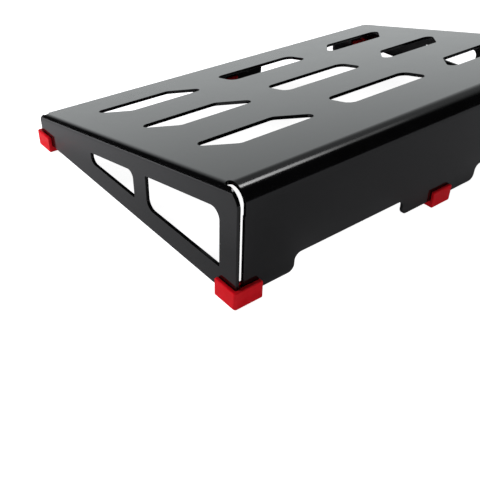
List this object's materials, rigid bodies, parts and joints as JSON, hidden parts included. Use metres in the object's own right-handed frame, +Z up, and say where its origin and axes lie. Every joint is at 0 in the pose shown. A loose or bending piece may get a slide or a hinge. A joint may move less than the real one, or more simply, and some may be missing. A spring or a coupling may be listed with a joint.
{
  "type": "pedalboard",
  "caption": "Sloped pedalboard folded from one metal sheet, with slots in the deck, windows in the sides, cable notches under the ends and push-on rubber feet.",
  "frame": {"origin": "on the floor, under the middle of the board's outer box", "axes": "X runs along the board, left to right for the player; +Y points from the player to the tall panel; +Z is up"},
  "size_m": [0.4568, 0.3084, 0.093],
  "materials": {
    "deck_coat": "satin black powder coat",
    "foot_rubber": "matte red silicone rubber"
  },
  "bodies": {
    "root": {"folded_deck": "deck_coat", "tall_left_foot": "foot_rubber", "tall_centre_foot": "foot_rubber", "tall_right_foot": "foot_rubber", "low_left_foot": "foot_rubber", "low_centre_foot": "foot_rubber", "low_right_foot": "foot_rubber"}
  },
  "joints": []
}
